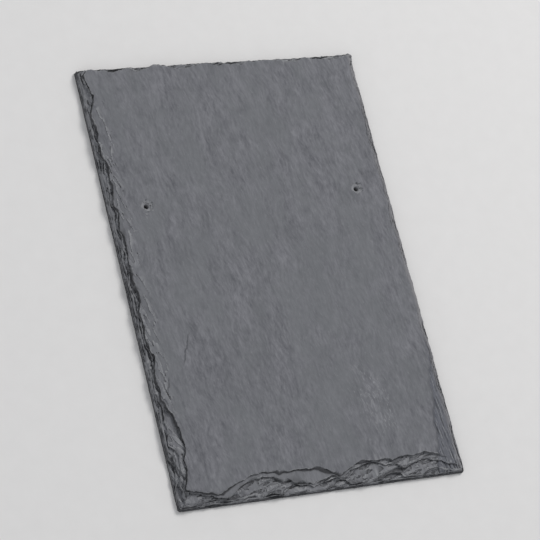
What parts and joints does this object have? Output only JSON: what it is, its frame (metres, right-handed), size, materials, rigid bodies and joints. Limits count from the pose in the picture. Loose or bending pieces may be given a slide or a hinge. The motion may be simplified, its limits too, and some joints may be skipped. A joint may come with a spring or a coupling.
{
  "type": "slate roof tile",
  "caption": "Flat rectangular natural slate for roofing, with dressed scalloped edges and nail holes above the lap, laid in overlapping courses.",
  "frame": {"origin": "centre of the slate's box on its flat underside", "axes": "+X along the tail edge, to the right seen from above with the tail nearest; +Y from the tail edge up the slope to the head; +Z out of the weather face"},
  "size_m": [0.3048, 0.4572, 0.0127],
  "materials": {
    "slate": "matte, riven"
  },
  "bodies": {
    "root": {"slate": "slate"}
  },
  "joints": []
}
